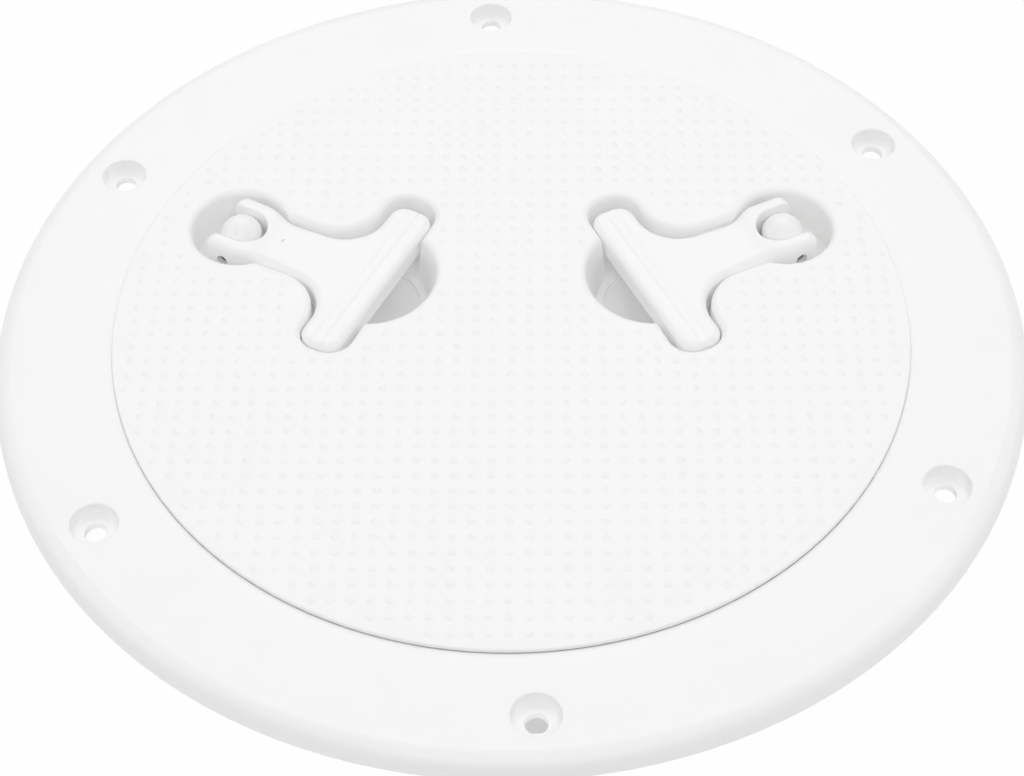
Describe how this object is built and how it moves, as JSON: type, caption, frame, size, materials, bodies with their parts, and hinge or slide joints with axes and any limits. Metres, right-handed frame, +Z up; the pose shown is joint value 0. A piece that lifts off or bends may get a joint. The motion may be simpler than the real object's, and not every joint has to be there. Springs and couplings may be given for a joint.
{
  "type": "deck inspection plate",
  "caption": "Round flush inspection hatch for a boat deck: a screwed-down ring with a seat, and a non-skid lid held by lift-and-turn T handles in recesses with finger wells.",
  "frame": {"origin": "centre of the ring's underside, in the plane where it lies on the deck", "axes": "+Z up, out of the deck; -Y toward the lid's fixed tab side, +Y toward the latches; +X to the right"},
  "size_m": [0.285, 0.285, 0.0359],
  "materials": {
    "ring_plastic": "moulded, satin white",
    "lid_plastic": "moulded, satin white, with a field of small non-skid bumps",
    "handle_plastic": "moulded, satin white",
    "post_plastic": "moulded, satin white",
    "tongue_plastic": "moulded, matt",
    "bearing_plastic": "stamped, slippery white sheet",
    "seal_rubber": "moulded rubber",
    "stainless_steel": "turned and pressed stainless steel"
  },
  "bodies": {
    "plate": {"deck_ring": "ring_plastic", "ring_neck": "ring_plastic", "lid": "lid_plastic", "lid_seal": "seal_rubber", "left_wear_washer": "bearing_plastic", "right_wear_washer": "bearing_plastic"},
    "left_post": {"left_post": "post_plastic", "left_post_ring": "seal_rubber", "left_tongue": "tongue_plastic", "left_tongue_washer": "stainless_steel", "left_lock_washer": "stainless_steel", "left_tongue_screw": "stainless_steel"},
    "left_handle": {"left_handle": "handle_plastic", "left_hinge_pin": "stainless_steel"},
    "right_post": {"right_post": "post_plastic", "right_post_ring": "seal_rubber", "right_tongue": "tongue_plastic", "right_tongue_washer": "stainless_steel", "right_lock_washer": "stainless_steel", "right_tongue_screw": "stainless_steel"},
    "right_handle": {"right_handle": "handle_plastic", "right_hinge_pin": "stainless_steel"}
  },
  "joints": [
    {"name": "left_post_slide", "type": "slide", "parent": "plate", "child": "left_post", "axis": [0, 0, -1], "range_m": [0, 0.0015]},
    {"name": "left_handle_hinge", "type": "hinge", "parent": "left_post", "child": "left_handle", "pos_m": [-0.07575, 0.03943, 0.0035], "axis": [-0.503, -0.8643, 0], "range_deg": [0, 90]},
    {"name": "right_post_slide", "type": "slide", "parent": "plate", "child": "right_post", "axis": [0, 0, -1], "range_m": [0, 0.0015]},
    {"name": "right_handle_hinge", "type": "hinge", "parent": "right_post", "child": "right_handle", "pos_m": [0.07967, 0.03074, 0.0035], "axis": [-0.4035, 0.915, 0], "range_deg": [0, 90]}
  ],
  "couplings": [
    {"joint": "left_post_slide", "follows": "left_handle_hinge", "m_per_rad": 0.00095492},
    {"joint": "right_post_slide", "follows": "right_handle_hinge", "m_per_rad": 0.00095492}
  ]
}
